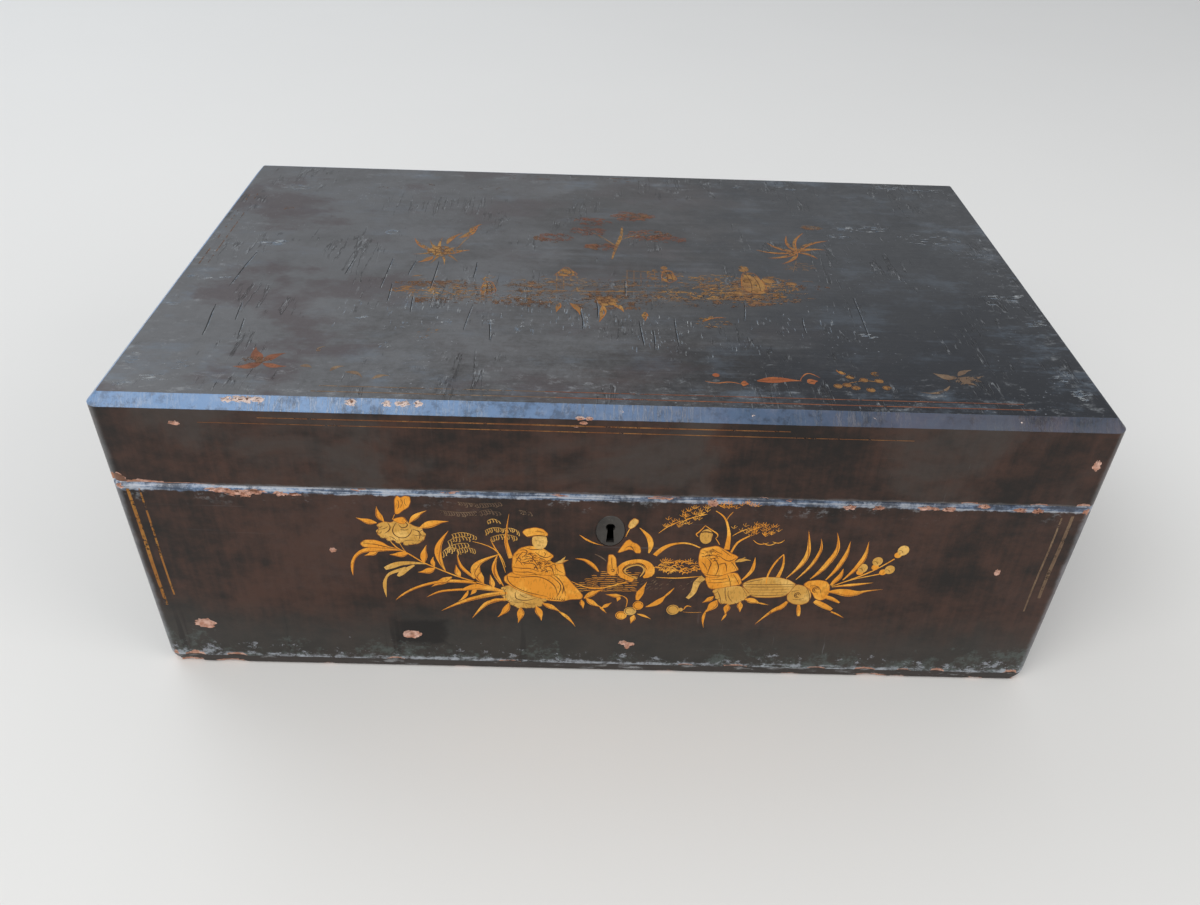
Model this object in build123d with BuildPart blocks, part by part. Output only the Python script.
"""A lacquered work box: a dovetailed case with a hinged lid, a box lock and a fitted lift-out tray.

Millimetres. The front faces -Y, the lid opens upwards and back, and the origin is the
middle of the base.
"""

import os
from math import radians, sin, sqrt, tan

from build123d import *

os.makedirs("parts", exist_ok=True)

# Outside of the box
box_width = 380.0
box_depth = 228.0
case_height = 102.0
lid_height = 39.0
corner_radius = 5.0
top_bevel = 4.0
rim_bevel = 1.4

# Boards under the lacquer
coat = 0.8
wall = 9.0
bottom_thickness = 5.0
bottom_inset = 0.5
bottom_edge_bevel = 0.8
top_panel_thickness = 7.0

# Dovetails, as counted on one corner
case_tails = 4
lid_tails = 2
tail_share = 0.5
tail_flare = 1.5

# Cut nails that hold the bottom board
nail_width = 1.7
nail_head_width = 3.4
nail_head_thickness = 0.8
nail_length = 22.0
nail_clearance = 0.05
long_side_nails = 5
long_side_nail_pitch = 75.0
short_side_nails = 2
short_side_nail_pitch = 100.0

# Hinges
hinge_length = 38.0
hinge_from_end = 55.0
hinge_from_back = 3.0
leaf_thickness = 1.2
knuckle_radius = 2.2
knuckle_count = 3
knuckle_gap = 0.2
hinge_pin_radius = 0.9
hinge_pin_clearance = 0.05
stop_angle = 50.5
hinge_screw_pitch = 14.0
hinge_screws_per_leaf = 3

# Wood screws, drawn with few sides because they repeat
screw_sides = 10
screw_radius = 0.95
screw_head_radius = 1.8
screw_head_depth = 0.85
screw_head_slope = 0.6
screw_slot_width = 0.5
screw_slot_depth = 0.35
screw_clearance = 0.05
hinge_screw_length = 9.0
lock_screw_length = 6.5

# Lock
lock_x = 2.0
lock_plate_thickness = 1.2
selvedge_thickness = 1.4
selvedge_depth = 7.0
cap_depth = 5.8
cap_wall = 0.8
cap_play = 1.0
cap_below_keyhole = 1.8
plate_below_cap = 3.6
plate_past_screw = 3.0
lock_screw_past_cap = 3.2
lock_screw_low = 4.0
lock_screw_rise = 21.0
fit_gap = 0.1

# Bolt and the staples that it locks
bolt_travel = 5.0
bolt_thickness = 1.6
bolt_end = 3.9
bolt_tail = 6.0
bolt_web = 1.1
key_to_bolt = 2.4
staple_x = 11.0
staple_thickness = 1.6
staple_depth = 4.0
staple_leg = 0.8
staple_length = 9.4
staple_toe = 1.3
eye_height = 3.2
prong_clearance = 0.4
prong_setback = 0.5
notch_clearance = 0.3
talon_width = 7.0
talon_depth = 4.4
stud_radius = 1.0
stud_clearance = 0.1
spring_span = 12.0
spring_rise = 1.1
spring_thickness = 0.4
spring_depth = 2.0
spring_gap = 0.5
key_pin_radius = 0.9
key_pin_length = 6.0

# Keyhole and its plate
keyhole_radius = 1.9
keyhole_waist = 2.4
keyhole_foot = 3.2
keyhole_waist_drop = 2.2
keyhole_foot_drop = 8.0
escutcheon_width = 11.8
escutcheon_height = 16.0
escutcheon_thickness = 1.2
escutcheon_drop = 2.0
escutcheon_edge = 0.3
escutcheon_clearance = 0.05

# Link plate on the lid
link_plate_thickness = 1.4
link_screw_past_staple = 9.0
link_plate_past_screw = 5.0
link_screw_length = 8.0

# Strips that the tray rests on
rest_size = 6.0
rest_below_rim = 34.0
rest_bevel = 1.5

# Tray
tray_clearance = 0.7
tray_below_rim = 3.0
rail = 4.0
divider = 3.0
tray_floor_thickness = 3.0
groove = 1.5
cross_divider_x = 95.0
long_divider_y = 41.0
joint_gap = 0.05

# Lids and knobs inside the tray
tray_lid_gap = 0.5
tray_lid_thickness = 3.0
tray_lid_sink = 1.0
tray_lid_bevel = 0.6
ledge_width = 2.0
ledge_height = 2.0
knob_sides = 16
knob_neck_radius = 1.5
knob_neck_height = 2.4
knob_head_radius = 2.9
knob_head_height = 4.8
knob_slope = 1.2

# Places worked out from the sizes above
box_height = case_height + lid_height
half_width = box_width / 2
half_depth = box_depth / 2
board_half_width = half_width - coat
board_half_depth = half_depth - coat
inside_half_width = board_half_width - wall
inside_half_depth = board_half_depth - wall
panel_bottom = box_height - coat - top_panel_thickness
hinge_y = half_depth - hinge_from_back
hinge_x = half_width - hinge_from_end
knuckle_width = hinge_length / knuckle_count
leaf_screw_y = (inside_half_depth + hinge_y - knuckle_radius) / 2
plate_face = -inside_half_depth - lock_plate_thickness
cap_front = plate_face - cap_depth
cap_top = case_height - selvedge_thickness
staple_y = plate_face - (cap_depth - cap_wall) / 2
staple_tip = case_height - staple_length
eye_bottom = staple_tip + staple_toe
eye_top = eye_bottom + eye_height
stud_slot_height = 2 * (stud_radius + stud_clearance)
notch_bottom = staple_tip - prong_clearance
stud_height = notch_bottom - bolt_web - stud_slot_height / 2
bolt_bottom = stud_height - stud_slot_height / 2 - bolt_web
bolt_top = cap_top - spring_rise - spring_thickness - spring_gap
key_height = bolt_bottom - key_to_bolt
notch_left = staple_thickness / 2 + notch_clearance + bolt_travel
notch_right = staple_thickness / 2 + notch_clearance + prong_clearance / 2
bolt_left = staple_x + notch_left + bolt_end
bolt_right = staple_x + bolt_tail
cap_width = 2 * (max(bolt_left, bolt_right + bolt_travel) + cap_play + cap_wall)
cap_bottom = key_height - keyhole_foot_drop - cap_below_keyhole
plate_bottom = cap_bottom - plate_below_cap
lock_screw_x = cap_width / 2 + lock_screw_past_cap
lock_plate_width = 2 * (lock_screw_x + plate_past_screw)
link_screw_x = staple_x + link_screw_past_staple
link_plate_width = 2 * (link_screw_x + link_plate_past_screw)
rest_top = case_height - rest_below_rim
rail_half_width = inside_half_width - tray_clearance
rail_half_depth = inside_half_depth - tray_clearance
tray_bottom = rest_top
tray_top = case_height - tray_below_rim
cell_floor = tray_bottom + tray_floor_thickness
cell_half_width = rail_half_width - rail
cell_half_depth = rail_half_depth - rail
tray_lid_top = tray_top - tray_lid_sink
tray_lid_bottom = tray_lid_top - tray_lid_thickness
corner_cell_width = cell_half_width - cross_divider_x - divider / 2
corner_cell_depth = cell_half_depth - long_divider_y - divider / 2
corner_cell_x = cell_half_width - corner_cell_width / 2
corner_cell_y = cell_half_depth - corner_cell_depth / 2


def save(part, name):
    """Labels one finished piece and writes its STEP file."""
    part.label = name
    export_step(part, f"parts/{name}.step")


def rounded_block(inset, low, high):
    """The box's plan drawn in by an inset, raised from one height to another."""
    with BuildPart() as block:
        with BuildSketch(Plane.XY.offset(low)):
            RectangleRounded(
                box_width - 2 * inset, box_depth - 2 * inset, corner_radius - inset
            )
        extrude(amount=high - low)
    return block.part


def hinge_groove(inset, side):
    """The wedge cut away behind the hinge axis, below the joint (side -1) or above it (side 1)."""
    start = hinge_y - inset / sin(radians(stop_angle))
    end = half_depth + corner_radius
    with BuildPart() as wedge:
        with BuildSketch(Plane.YZ):
            with BuildLine():
                Polyline(
                    (start, case_height),
                    (end, case_height),
                    (end, case_height + side * (end - start) * tan(radians(stop_angle))),
                    close=True,
                )
            make_face()
        extrude(amount=half_width + corner_radius, both=True)
    return wedge.part


def case_form(inset):
    """The case as one block above its bottom board, drawn in by an inset, with its rim bevels."""
    with BuildPart() as form:
        add(rounded_block(inset, bottom_thickness, case_height))
        chamfer(
            form.faces().sort_by(Axis.Z)[-1].edges(), rim_bevel + inset * (sqrt(2) - 1)
        )
        add(hinge_groove(inset, -1), mode=Mode.SUBTRACT)
    return form.part


def lid_form(inset):
    """The lid as one block, drawn in by an inset, with the bevel round its top."""
    with BuildPart() as form:
        add(rounded_block(inset, case_height, box_height - inset))
        chamfer(
            form.faces().sort_by(Axis.Z)[-1].edges(), top_bevel - inset * (2 - sqrt(2))
        )
        add(hinge_groove(inset, 1), mode=Mode.SUBTRACT)
    return form.part


def tail_blocks(low, high, count):
    """The dovetails of both side boards, at all four corners, for a frame of boards."""
    pitch = (high - low) / count
    root = pitch * tail_share
    with BuildPart() as tails:
        for number in range(count):
            middle = low + pitch * (number + 0.5)
            for end in (-1, 1):
                with BuildSketch(Plane.YZ.offset(inside_half_width)):
                    with BuildLine():
                        Polyline(
                            (end * inside_half_depth, middle - root / 2),
                            (end * board_half_depth, middle - root / 2 - tail_flare),
                            (end * board_half_depth, middle + root / 2 + tail_flare),
                            (end * inside_half_depth, middle + root / 2),
                            close=True,
                        )
                    make_face()
        extrude(amount=wall)
        mirror(about=Plane.YZ)
    return tails.part


def slab(low_corner, high_corner):
    """A plain block between two corners, for keeping or cutting a region."""
    size = [high - low for low, high in zip(low_corner, high_corner)]
    middle = tuple((high + low) / 2 for low, high in zip(low_corner, high_corner))
    with BuildPart() as block:
        with Locations(middle):
            Box(*size)
    return block.part


def long_board(form, tails, side, low, high):
    """The front (side -1) or back (side 1) board of a frame, with sockets for the tails."""
    near, far = sorted((side * inside_half_depth, side * half_depth))
    region = slab((-half_width, near, low), (half_width, far, high))
    with BuildPart() as board:
        add(form)
        add(region, mode=Mode.INTERSECT)
        add(tails, mode=Mode.SUBTRACT)
    return board.part


def short_board(form, tails, side, low, high):
    """The left (side -1) or right (side 1) board of a frame, with its tails."""
    near, far = sorted((side * inside_half_width, side * half_width))
    region = slab((near, -inside_half_depth, low), (far, inside_half_depth, high))
    reach = slab((near, -half_depth, low), (far, half_depth, high))
    with BuildPart() as board:
        add(tails)
        add(reach, mode=Mode.INTERSECT)
        add(region)
        add(form, mode=Mode.INTERSECT)
    return board.part


def keyhole_cutter(start, depth):
    """The keyhole's outline, a round head over a flared foot, cut inwards from a plane."""
    with BuildPart() as cutter:
        with BuildSketch(Plane.XZ.offset(-start)):
            with Locations((lock_x, key_height)):
                Circle(keyhole_radius)
                with BuildLine():
                    Polyline(
                        (lock_x - keyhole_waist / 2, key_height),
                        (lock_x - keyhole_waist / 2, key_height - keyhole_waist_drop),
                        (lock_x - keyhole_foot / 2, key_height - keyhole_foot_drop),
                        (lock_x + keyhole_foot / 2, key_height - keyhole_foot_drop),
                        (lock_x + keyhole_waist / 2, key_height - keyhole_waist_drop),
                        (lock_x + keyhole_waist / 2, key_height),
                        close=True,
                    )
                make_face()
        extrude(amount=-depth)
    return cutter.part


def escutcheon_block(clearance, start, depth):
    """The keyhole plate's oval, grown by a clearance, cut inwards from a plane."""
    with BuildPart() as block:
        with BuildSketch(Plane.XZ.offset(-start)):
            with Locations((lock_x, key_height - escutcheon_drop)):
                Ellipse(
                    escutcheon_width / 2 + clearance, escutcheon_height / 2 + clearance
                )
        extrude(amount=-depth)
    return block.part


def screw_form(length, grow):
    """A countersunk head and a shank below the origin, grown by a clearance for its hole."""
    with BuildPart() as form:
        with BuildSketch():
            RegularPolygon(screw_head_radius + grow, screw_sides)
        extrude(amount=-screw_head_depth)
        chamfer(form.edges().group_by(Axis.Z)[0], screw_head_slope)
        with BuildSketch(Plane.XY.offset(-screw_head_depth)):
            RegularPolygon(screw_radius + grow, screw_sides)
        extrude(amount=screw_head_depth - length - grow)
    return form.part


def wood_screw(length):
    """One slotted countersunk screw, its head's face at the origin and its end down."""
    with BuildPart() as screw:
        add(screw_form(length, 0))
        Box(
            2 * screw_head_radius,
            screw_slot_width,
            2 * screw_slot_depth,
            mode=Mode.SUBTRACT,
        )
    return screw.part


def placed(piece, planes):
    """Copies of a piece, one standing on each plane, as one group of separate solids."""
    with BuildPart() as group:
        with Locations(*planes):
            add(piece)
    return group.part


def hinge_screw_planes(side):
    """Where the hinge screws stand, heads at the joint, going down (-1) or up (1)."""
    return [
        Plane(
            (end * hinge_x + number * hinge_screw_pitch, leaf_screw_y, case_height),
            z_dir=(0, 0, -side),
        )
        for end in (-1, 1)
        for number in range(-(hinge_screws_per_leaf // 2), hinge_screws_per_leaf // 2 + 1)
    ]


lock_screw_planes = [
    Plane(
        (lock_x + side * lock_screw_x, -inside_half_depth, plate_bottom + rise),
        z_dir=(0, 1, 0),
    )
    for side in (-1, 1)
    for rise in (lock_screw_low, lock_screw_low + lock_screw_rise)
]
link_screw_planes = [
    Plane(
        (lock_x + side * link_screw_x, -inside_half_depth - selvedge_depth / 2, case_height),
        z_dir=(0, 0, -1),
    )
    for side in (-1, 1)
]


def hinge_gains(side):
    """What both hinges need cut from the case (side -1) or the lid (side 1)."""
    low, high = sorted((case_height, case_height + side * leaf_thickness))
    with BuildPart() as gains:
        for end in (-1, 1):
            middle = end * hinge_x
            with Locations((middle, hinge_y, case_height)):
                Cylinder(
                    knuckle_radius + knuckle_gap,
                    hinge_length + 2 * knuckle_gap,
                    rotation=(0, 90, 0),
                )
            add(
                slab(
                    (middle - hinge_length / 2 - fit_gap, inside_half_depth, low),
                    (middle + hinge_length / 2 + fit_gap, hinge_y, high),
                )
            )
        add(placed(screw_form(hinge_screw_length, screw_clearance), hinge_screw_planes(side)))
    return gains.part


def nail_places():
    """The plan positions of the nails, along the middle of the case's walls."""
    middle_x = board_half_width - wall / 2
    middle_y = board_half_depth - wall / 2
    long_run = [
        (number - (long_side_nails - 1) / 2) * long_side_nail_pitch
        for number in range(long_side_nails)
    ]
    short_run = [
        (number - (short_side_nails - 1) / 2) * short_side_nail_pitch
        for number in range(short_side_nails)
    ]
    return [(x, side * middle_y) for side in (-1, 1) for x in long_run] + [
        (side * middle_x, y) for side in (-1, 1) for y in short_run
    ]


def nail(grow):
    """One square cut nail standing on the origin, grown by a clearance for its hole."""
    with BuildPart() as made:
        for width, length in (
            (nail_head_width, nail_head_thickness),
            (nail_width, nail_length),
        ):
            Box(
                width + 2 * grow,
                width + 2 * grow,
                length + grow,
                align=(Align.CENTER, Align.CENTER, Align.MIN),
            )
    return made.part


# The case
case_block = case_form(coat)
case_dovetails = tail_blocks(bottom_thickness, case_height, case_tails)
nail_planes = [Plane((x, y, 0)) for x, y in nail_places()]
nail_holes = placed(nail(nail_clearance), nail_planes)
case_hinge_gains = hinge_gains(-1)

with BuildPart() as lock_mortise:
    add(
        slab(
            (lock_x - lock_plate_width / 2 - fit_gap, plate_face, plate_bottom - fit_gap),
            (lock_x + lock_plate_width / 2 + fit_gap, -inside_half_depth, case_height),
        )
    )
    add(
        slab(
            (
                lock_x - lock_plate_width / 2 - fit_gap,
                -inside_half_depth - selvedge_depth - fit_gap,
                cap_top,
            ),
            (lock_x + lock_plate_width / 2 + fit_gap, -inside_half_depth, case_height),
        )
    )
    add(
        slab(
            (
                lock_x - cap_width / 2 - fit_gap,
                cap_front - fit_gap,
                cap_bottom - fit_gap,
            ),
            (lock_x + cap_width / 2 + fit_gap, plate_face, cap_top),
        )
    )
    add(placed(screw_form(lock_screw_length, screw_clearance), lock_screw_planes))

with BuildPart() as case_front_board:
    add(long_board(case_block, case_dovetails, -1, bottom_thickness, case_height))
    add(lock_mortise.part, mode=Mode.SUBTRACT)
    add(keyhole_cutter(-half_depth, half_depth - inside_half_depth), mode=Mode.SUBTRACT)
    add(
        escutcheon_block(escutcheon_clearance, -half_depth, escutcheon_thickness),
        mode=Mode.SUBTRACT,
    )
    add(nail_holes, mode=Mode.SUBTRACT)
save(case_front_board.part, "case_front_board")

with BuildPart() as case_back_board:
    add(long_board(case_block, case_dovetails, 1, bottom_thickness, case_height))
    add(case_hinge_gains, mode=Mode.SUBTRACT)
    add(nail_holes, mode=Mode.SUBTRACT)
save(case_back_board.part, "case_back_board")

for side, name in ((-1, "case_left_board"), (1, "case_right_board")):
    with BuildPart() as case_side_board:
        add(short_board(case_block, case_dovetails, side, bottom_thickness, case_height))
        add(nail_holes, mode=Mode.SUBTRACT)
    save(case_side_board.part, name)

with BuildPart() as case_bottom_board:
    add(rounded_block(bottom_inset, 0, bottom_thickness))
    chamfer(case_bottom_board.faces().sort_by(Axis.Z)[0].edges(), bottom_edge_bevel)
    add(nail_holes, mode=Mode.SUBTRACT)
save(case_bottom_board.part, "case_bottom_board")

save(placed(nail(0), nail_planes), "bottom_nails")

with BuildPart() as case_lacquer:
    add(case_form(0))
    add(case_block, mode=Mode.SUBTRACT)
    add(case_hinge_gains, mode=Mode.SUBTRACT)
    add(
        escutcheon_block(escutcheon_clearance, -half_depth, escutcheon_thickness),
        mode=Mode.SUBTRACT,
    )
save(case_lacquer.part, "case_lacquer")

# Strips round the inside of the case
for side, name in ((-1, "tray_rest_left"), (1, "tray_rest_right")):
    near, far = sorted((side * inside_half_width, side * (inside_half_width - rest_size)))
    with BuildPart() as end_rest:
        add(
            slab(
                (near, -inside_half_depth, rest_top - rest_size),
                (far, inside_half_depth, rest_top),
            )
        )
        low_edges = end_rest.edges().filter_by(Axis.Y).group_by(Axis.Z)[0]
        chamfer(low_edges.sort_by(Axis.X)[0 if side > 0 else -1], rest_bevel)
    save(end_rest.part, name)

for side, name in ((-1, "tray_rest_front"), (1, "tray_rest_back")):
    near, far = sorted((side * inside_half_depth, side * (inside_half_depth - rest_size)))
    reach = inside_half_width - rest_size
    with BuildPart() as long_rest:
        add(slab((-reach, near, rest_top - rest_size), (reach, far, rest_top)))
        low_edges = long_rest.edges().filter_by(Axis.X).group_by(Axis.Z)[0]
        chamfer(low_edges.sort_by(Axis.Y)[0 if side > 0 else -1], rest_bevel)
    save(long_rest.part, name)

# The lid
lid_block = lid_form(coat)
lid_dovetails = tail_blocks(case_height, panel_bottom, lid_tails)
lid_hinge_gains = hinge_gains(1)

with BuildPart() as link_gain:
    add(
        slab(
            (
                lock_x - link_plate_width / 2 - fit_gap,
                -inside_half_depth - selvedge_depth - fit_gap,
                case_height,
            ),
            (
                lock_x + link_plate_width / 2 + fit_gap,
                -inside_half_depth,
                case_height + link_plate_thickness,
            ),
        )
    )
    add(placed(screw_form(link_screw_length, screw_clearance), link_screw_planes))

with BuildPart() as lid_front_board:
    add(long_board(lid_block, lid_dovetails, -1, case_height, panel_bottom))
    add(link_gain.part, mode=Mode.SUBTRACT)
save(lid_front_board.part, "lid_front_board")

with BuildPart() as lid_back_board:
    add(long_board(lid_block, lid_dovetails, 1, case_height, panel_bottom))
    add(lid_hinge_gains, mode=Mode.SUBTRACT)
save(lid_back_board.part, "lid_back_board")

for side, name in ((-1, "lid_left_board"), (1, "lid_right_board")):
    with BuildPart() as lid_side_board:
        add(short_board(lid_block, lid_dovetails, side, case_height, panel_bottom))
    save(lid_side_board.part, name)

with BuildPart() as lid_top_panel:
    add(lid_block)
    add(
        slab((-half_width, -half_depth, panel_bottom), (half_width, half_depth, box_height)),
        mode=Mode.INTERSECT,
    )
save(lid_top_panel.part, "lid_top_panel")

with BuildPart() as lid_lacquer:
    add(lid_form(0))
    add(lid_block, mode=Mode.SUBTRACT)
    add(lid_hinge_gains, mode=Mode.SUBTRACT)
save(lid_lacquer.part, "lid_lacquer")


# Hinges
def hinge_leaf(end, side):
    """One leaf with its share of the knuckles: the case's (side -1) has the outer ones."""
    low, high = sorted((case_height, case_height + side * leaf_thickness))
    middle = end * hinge_x
    with BuildPart() as leaf:
        add(
            slab(
                (middle - hinge_length / 2, inside_half_depth, low),
                (middle + hinge_length / 2, hinge_y, high),
            )
        )
        for number in range(knuckle_count):
            centre = middle + (number - (knuckle_count - 1) / 2) * knuckle_width
            own = number % 2 == (0 if side < 0 else 1)
            with Locations((centre, hinge_y, case_height)):
                if own:
                    Cylinder(
                        knuckle_radius,
                        knuckle_width - knuckle_gap,
                        rotation=(0, 90, 0),
                    )
                else:
                    Cylinder(
                        knuckle_radius + knuckle_gap,
                        knuckle_width + knuckle_gap,
                        rotation=(0, 90, 0),
                        mode=Mode.SUBTRACT,
                    )
        with Locations((middle, hinge_y, case_height)):
            Cylinder(
                hinge_pin_radius + hinge_pin_clearance,
                hinge_length + 2 * knuckle_gap,
                rotation=(0, 90, 0),
                mode=Mode.SUBTRACT,
            )
        add(
            placed(screw_form(hinge_screw_length, screw_clearance), hinge_screw_planes(side)),
            mode=Mode.SUBTRACT,
        )
    return leaf.part


for end, end_name in ((-1, "left"), (1, "right")):
    save(hinge_leaf(end, -1), f"hinge_{end_name}_case_leaf")
    save(hinge_leaf(end, 1), f"hinge_{end_name}_lid_leaf")
    with BuildPart() as hinge_pin:
        with Locations((end * hinge_x, hinge_y, case_height)):
            Cylinder(hinge_pin_radius, hinge_length, rotation=(0, 90, 0))
    save(hinge_pin.part, f"hinge_{end_name}_pin")

hinge_screw = wood_screw(hinge_screw_length)
save(placed(hinge_screw, hinge_screw_planes(-1)), "hinge_case_screws")
save(placed(hinge_screw, hinge_screw_planes(1)), "hinge_lid_screws")


# The lock, let into the front board from inside
def staple_slots(plane_height, depth, grow_x, grow_y):
    """Upright slots for both staples, cut down from a height."""
    with BuildPart() as slots:
        with BuildSketch(Plane.XY.offset(plane_height)):
            with Locations((lock_x - staple_x, staple_y), (lock_x + staple_x, staple_y)):
                Rectangle(staple_thickness + 2 * grow_x, staple_depth + 2 * grow_y)
        extrude(amount=-depth)
    return slots.part


with BuildPart() as lock_plate:
    add(
        slab(
            (lock_x - lock_plate_width / 2, plate_face, plate_bottom),
            (lock_x + lock_plate_width / 2, -inside_half_depth, case_height),
        )
    )
    add(
        slab(
            (
                lock_x - lock_plate_width / 2,
                -inside_half_depth - selvedge_depth,
                cap_top,
            ),
            (lock_x + lock_plate_width / 2, -inside_half_depth, case_height),
        )
    )
    add(
        staple_slots(case_height, selvedge_thickness, prong_setback, prong_setback),
        mode=Mode.SUBTRACT,
    )
    add(placed(screw_form(lock_screw_length, screw_clearance), lock_screw_planes), mode=Mode.SUBTRACT)
save(lock_plate.part, "lock_plate")

with BuildPart() as lock_cap:
    add(
        slab(
            (lock_x - cap_width / 2, cap_front, cap_bottom),
            (lock_x + cap_width / 2, plate_face, cap_top),
        )
    )
    add(
        slab(
            (
                lock_x - cap_width / 2 + cap_wall,
                cap_front + cap_wall,
                cap_bottom + cap_wall,
            ),
            (lock_x + cap_width / 2 - cap_wall, plate_face, cap_top),
        ),
        mode=Mode.SUBTRACT,
    )
    add(keyhole_cutter(cap_front, cap_wall), mode=Mode.SUBTRACT)
save(lock_cap.part, "lock_cap")

prong_bottom = eye_bottom + prong_clearance
prong_top = eye_top - prong_clearance
prong_reach = staple_thickness / 2 + prong_setback
stud_places = [
    (lock_x - staple_x, stud_height),
    (lock_x + staple_x + prong_setback, stud_height),
]

with BuildPart() as lock_bolt:
    with BuildSketch(Plane.XZ.offset(-staple_y)):
        with BuildLine():
            Polyline(
                (lock_x - bolt_left, bolt_bottom),
                (lock_x + bolt_right, bolt_bottom),
                (lock_x + bolt_right, bolt_top),
                (lock_x - bolt_left, bolt_top),
                close=True,
            )
        make_face()
        for side in (-1, 1):
            middle = lock_x + side * staple_x
            with BuildLine():
                Polyline(
                    (middle - notch_left, bolt_top),
                    (middle - notch_left, prong_top),
                    (middle - prong_reach, prong_top),
                    (middle - prong_reach, prong_bottom),
                    (middle - notch_left, prong_bottom),
                    (middle - notch_left, notch_bottom),
                    (middle + notch_right, notch_bottom),
                    (middle + notch_right, bolt_top),
                    close=True,
                )
            make_face(mode=Mode.SUBTRACT)
        with Locations((lock_x - bolt_travel / 2, bolt_bottom)):
            Rectangle(talon_width, 2 * talon_depth, mode=Mode.SUBTRACT)
        with Locations(*[(x - bolt_travel / 2, z) for x, z in stud_places]):
            SlotOverall(
                bolt_travel + stud_slot_height, stud_slot_height, mode=Mode.SUBTRACT
            )
    extrude(amount=bolt_thickness / 2, both=True)
save(lock_bolt.part, "lock_bolt")

with BuildPart() as lock_studs:
    with BuildSketch(Plane.XZ.offset(-plate_face)):
        with Locations(*stud_places):
            Circle(stud_radius)
    extrude(amount=cap_depth - cap_wall)
save(lock_studs.part, "lock_studs")

with BuildPart() as lock_spring:
    with BuildSketch(Plane.XZ.offset(-staple_y)):
        with BuildLine():
            upper = ThreePointArc(
                (lock_x - spring_span / 2, cap_top),
                (lock_x, cap_top - spring_rise),
                (lock_x + spring_span / 2, cap_top),
            )
            lower = ThreePointArc(
                (lock_x - spring_span / 2, cap_top - spring_thickness),
                (lock_x, cap_top - spring_rise - spring_thickness),
                (lock_x + spring_span / 2, cap_top - spring_thickness),
            )
            Line(upper @ 0, lower @ 0)
            Line(upper @ 1, lower @ 1)
        make_face()
    extrude(amount=spring_depth / 2, both=True)
save(lock_spring.part, "lock_spring")

with BuildPart() as key_pin:
    with BuildSketch(Plane.XZ.offset(-plate_face)):
        with Locations((lock_x, key_height)):
            Circle(key_pin_radius)
    extrude(amount=key_pin_length)
save(key_pin.part, "key_pin")

save(placed(wood_screw(lock_screw_length), lock_screw_planes), "lock_screws")

with BuildPart() as keyhole_escutcheon:
    add(escutcheon_block(0, -half_depth, escutcheon_thickness))
    chamfer(
        keyhole_escutcheon.faces().sort_by(Axis.Y)[0].edges(), escutcheon_edge
    )
    add(keyhole_cutter(-half_depth, escutcheon_thickness), mode=Mode.SUBTRACT)
save(keyhole_escutcheon.part, "keyhole_escutcheon")

with BuildPart() as lock_link_plate:
    add(
        slab(
            (
                lock_x - link_plate_width / 2,
                -inside_half_depth - selvedge_depth,
                case_height,
            ),
            (
                lock_x + link_plate_width / 2,
                -inside_half_depth,
                case_height + link_plate_thickness,
            ),
        )
    )
    add(
        staple_slots(case_height + link_plate_thickness, link_plate_thickness, 0, 0),
        mode=Mode.SUBTRACT,
    )
    add(placed(screw_form(link_screw_length, screw_clearance), link_screw_planes), mode=Mode.SUBTRACT)
save(lock_link_plate.part, "lock_link_plate")

with BuildPart() as lock_staples:
    add(
        staple_slots(
            case_height + link_plate_thickness,
            case_height + link_plate_thickness - staple_tip,
            0,
            0,
        )
    )
    with BuildSketch(Plane.YZ.offset(lock_x)):
        with Locations((staple_y, (eye_bottom + eye_top) / 2)):
            Rectangle(staple_depth - 2 * staple_leg, eye_top - eye_bottom)
    extrude(amount=staple_x + staple_thickness, both=True, mode=Mode.SUBTRACT)
save(lock_staples.part, "lock_staples")

save(placed(wood_screw(link_screw_length), link_screw_planes), "link_plate_screws")

# The tray
divider_top = tray_top
divider_middle = (cell_floor + divider_top) / 2


def divider_lines():
    """The four dividers as whole strips, by name: run direction and offset."""
    return {
        "tray_divider_left": ("y", -cross_divider_x),
        "tray_divider_right": ("y", cross_divider_x),
        "tray_divider_front": ("x", -long_divider_y),
        "tray_divider_back": ("x", long_divider_y),
    }


def divider_strip(run, offset, low, high, grow):
    """A strip along one divider line, grown by a clearance where it is used as a cutter."""
    half = divider / 2 + grow
    if run == "y":
        reach = cell_half_depth + groove
        return slab((offset - half, -reach, low), (offset + half, reach, high))
    reach = cell_half_width + groove
    return slab((-reach, offset - half, low), (reach, offset + half, high))


for name, (run, offset) in divider_lines().items():
    with BuildPart() as tray_divider:
        add(divider_strip(run, offset, cell_floor, divider_top, 0))
        for other_run, other_offset in divider_lines().values():
            if other_run != run:
                low, high = (
                    (divider_middle, divider_top)
                    if run == "y"
                    else (cell_floor, divider_middle)
                )
                add(
                    divider_strip(other_run, other_offset, low, high, joint_gap),
                    mode=Mode.SUBTRACT,
                )
    save(tray_divider.part, name)

for side, name in ((-1, "tray_front_rail"), (1, "tray_back_rail")):
    near, far = sorted((side * cell_half_depth, side * rail_half_depth))
    with BuildPart() as long_rail:
        add(
            slab((-rail_half_width, near, tray_bottom), (rail_half_width, far, tray_top))
        )
        for offset in (-cross_divider_x, cross_divider_x):
            add(
                divider_strip("y", offset, cell_floor, divider_top, joint_gap),
                mode=Mode.SUBTRACT,
            )
    save(long_rail.part, name)

for side, name in ((-1, "tray_left_rail"), (1, "tray_right_rail")):
    near, far = sorted((side * cell_half_width, side * rail_half_width))
    with BuildPart() as end_rail:
        add(
            slab((near, -cell_half_depth, tray_bottom), (far, cell_half_depth, tray_top))
        )
        for offset in (-long_divider_y, long_divider_y):
            add(
                divider_strip("x", offset, cell_floor, divider_top, joint_gap),
                mode=Mode.SUBTRACT,
            )
    save(end_rail.part, name)

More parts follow.
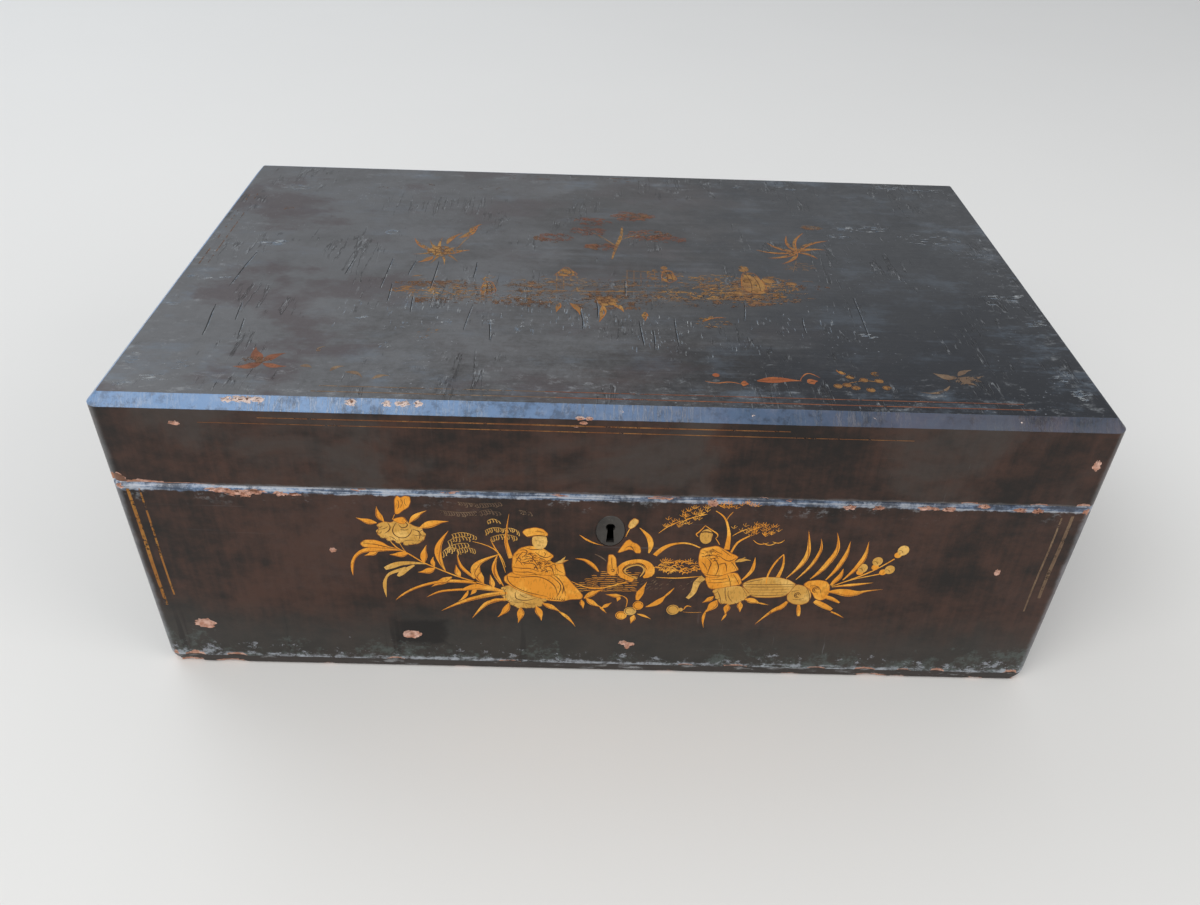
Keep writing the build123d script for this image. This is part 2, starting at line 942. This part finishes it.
with BuildPart() as tray_floor:
    add(
        slab(
            (-cell_half_width, -cell_half_depth, tray_bottom),
            (cell_half_width, cell_half_depth, cell_floor),
        )
    )
save(tray_floor.part, "tray_floor")

# Ledges and lids of the corner cells
corner_cells = {
    "front_left": (-1, -1),
    "front_right": (1, -1),
    "back_left": (-1, 1),
    "back_right": (1, 1),
}

with BuildPart() as tray_lid_ledges:
    with BuildSketch(Plane.XY.offset(tray_lid_bottom - ledge_height)):
        for side_x, side_y in corner_cells.values():
            for edge in (-1, 1):
                centre_x = side_x * corner_cell_x
                centre_x += edge * (corner_cell_width - ledge_width) / 2
                with Locations((centre_x, side_y * corner_cell_y)):
                    Rectangle(ledge_width, corner_cell_depth)
    extrude(amount=ledge_height)
save(tray_lid_ledges.part, "tray_lid_ledges")


# Every knob is alike: a neck, and a head that widens and draws in again to a flat crown
with BuildPart() as turned_knob:
    with BuildSketch(Plane.XY.offset(knob_neck_height)):
        RegularPolygon(knob_head_radius, knob_sides)
    extrude(amount=knob_head_height)
    chamfer(turned_knob.edges().group_by(Axis.Z)[0], knob_slope)
    chamfer(turned_knob.edges().group_by(Axis.Z)[-1], knob_slope)
    with BuildSketch():
        RegularPolygon(knob_neck_radius, knob_sides)
    extrude(amount=knob_neck_height)

for name, (side_x, side_y) in corner_cells.items():
    centre = (side_x * corner_cell_x, side_y * corner_cell_y)
    with BuildPart() as tray_lid:
        with BuildSketch(Plane.XY.offset(tray_lid_bottom)):
            with Locations(centre):
                Rectangle(
                    corner_cell_width - 2 * tray_lid_gap,
                    corner_cell_depth - 2 * tray_lid_gap,
                )
        extrude(amount=tray_lid_thickness)
        chamfer(tray_lid.faces().sort_by(Axis.Z)[-1].edges(), tray_lid_bevel)
    save(tray_lid.part, f"tray_lid_{name}")
    knob_plane = Plane((*centre, tray_lid_top))
    save(placed(turned_knob.part, [knob_plane]), f"tray_knob_{name}")

lift_knob_planes = [Plane((side * cross_divider_x, 0, tray_top)) for side in (-1, 1)]
save(placed(turned_knob.part, lift_knob_planes), "tray_lift_knobs")
